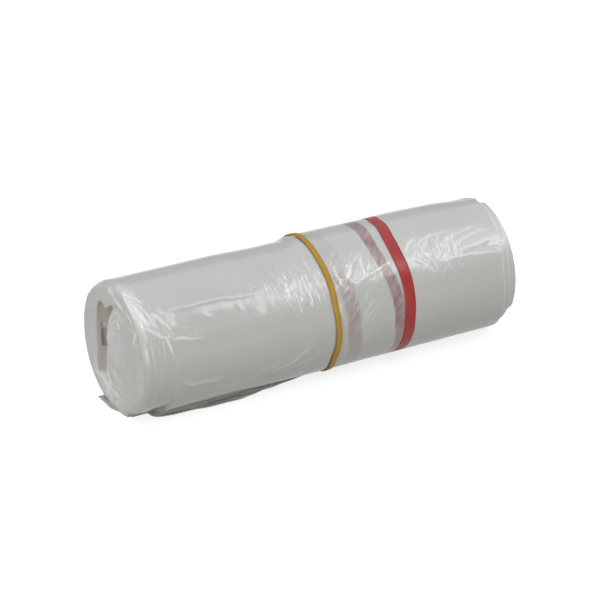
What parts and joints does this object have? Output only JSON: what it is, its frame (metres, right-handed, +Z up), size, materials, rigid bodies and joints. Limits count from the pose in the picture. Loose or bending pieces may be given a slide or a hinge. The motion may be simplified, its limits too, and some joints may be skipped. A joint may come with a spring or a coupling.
{
  "type": "bin bag roll",
  "caption": "Coreless roll of thin see-through bin bags lying on its side, held by a rubber band round its middle, with a red stripe round it.",
  "frame": {"origin": "centre of the bounding box at its bottom, on the surface that the roll lies on", "axes": "+X along the roll, towards the end where the inner turns stick out least; -Y is the front, with the slack film at its foot; +Z up"},
  "size_m": [0.196, 0.0654, 0.0627],
  "materials": {
    "film": "milky, half see-through polyethylene film, creased and glossy",
    "band": "matt mustard-yellow rubber band",
    "stripe": "red stripe in the outermost film, glossy"
  },
  "bodies": {
    "root": {"bag_roll": "film", "rubber_band": "band", "red_stripe": "stripe"}
  },
  "joints": []
}
